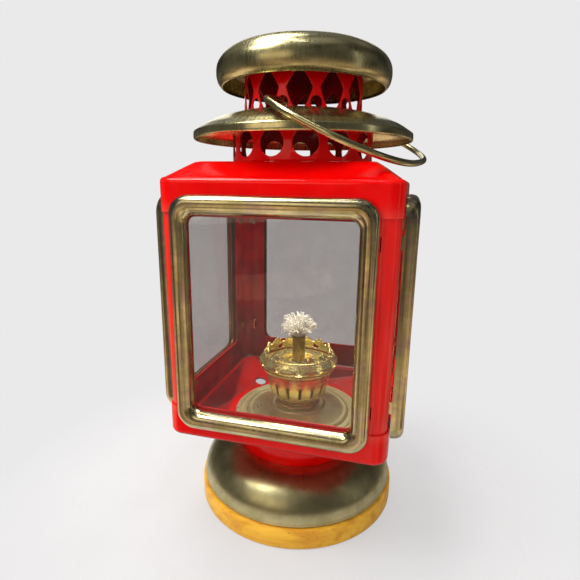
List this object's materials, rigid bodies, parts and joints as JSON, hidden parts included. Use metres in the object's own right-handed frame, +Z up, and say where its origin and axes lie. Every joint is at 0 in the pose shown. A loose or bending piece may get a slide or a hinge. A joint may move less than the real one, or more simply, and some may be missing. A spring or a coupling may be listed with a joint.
{
  "type": "oil carriage lantern",
  "caption": "Square glazed table lantern with a vented chimney stack, swinging bail, round wooden foot and a brass font with a wick burner inside.",
  "frame": {"origin": "middle of the wooden foot's underside", "axes": "+Z up through the chimney stack, -Y out of the front window, +X towards the side the bail hangs on"},
  "size_m": [0.1423, 0.1406, 0.2816],
  "materials": {
    "red_enamel": "glossy baked enamel",
    "aged_brass": "polished, lacquered and aged",
    "font_brass": "satin",
    "burner_brass": "bright",
    "window_glass": "clear",
    "base_wood": "satin varnish",
    "wick_cotton": "loose cotton strands",
    "winder_steel": "plain drawn wire"
  },
  "bodies": {
    "cage": {"wood_base": "base_wood", "base_skirt": "aged_brass", "base_neck": "red_enamel", "bottom_pan": "red_enamel", "body_sleeve": "red_enamel", "window_bezel_front": "aged_brass", "window_bezel_right": "aged_brass", "window_bezel_back": "aged_brass", "window_bezel_left": "aged_brass", "window_glass_front": "window_glass", "window_glass_right": "window_glass", "window_glass_back": "window_glass", "window_glass_left": "window_glass"},
    "roof": {"roof_pan": "red_enamel", "vent_collar": "red_enamel", "canopy": "aged_brass", "vent_ring": "red_enamel", "top_cap": "aged_brass"},
    "bail": {"bail_handle": "aged_brass"},
    "font": {"font_bowl": "font_brass", "font_top": "font_brass", "font_collar": "burner_brass"},
    "burner": {"burner_base": "burner_brass", "burner_bowl": "burner_brass", "burner_rim": "burner_brass", "burner_deck": "burner_brass", "burner_crown": "burner_brass", "wick_tube": "burner_brass"},
    "winder": {"winder_shaft": "winder_steel", "winder_wheel": "burner_brass", "winder_knob": "burner_brass"},
    "wick": {"wick": "wick_cotton"}
  },
  "joints": [
    {"name": "roof_lift", "type": "slide", "parent": "cage", "child": "roof", "axis": [0, 0, 1], "range_m": [0, 0.03]},
    {"name": "bail_swing", "type": "hinge", "parent": "roof", "child": "bail", "pos_m": [0, 0, 0.2458], "axis": [-0.0872, -0.9962, 0], "range_deg": [0, 142]},
    {"name": "font_lift", "type": "slide", "parent": "cage", "child": "font", "axis": [0, 0, 1], "range_m": [0, 0.035]},
    {"name": "burner_turn", "type": "hinge", "parent": "font", "child": "burner", "pos_m": [0, 0, 0.0625], "axis": [0, 0, 1], "range_deg": [0, 540]},
    {"name": "winder_turn", "type": "hinge", "parent": "burner", "child": "winder", "pos_m": [0.0063, 0.02, 0.078], "axis": [0, 1, 0], "range_deg": [0, 232]},
    {"name": "wick_feed", "type": "slide", "parent": "burner", "child": "wick", "axis": [0, 0, 1], "range_m": [0, 0.0105]}
  ],
  "couplings": [
    {"joint": "winder_turn", "follows": "wick_feed", "rad_per_m": 384.6}
  ]
}
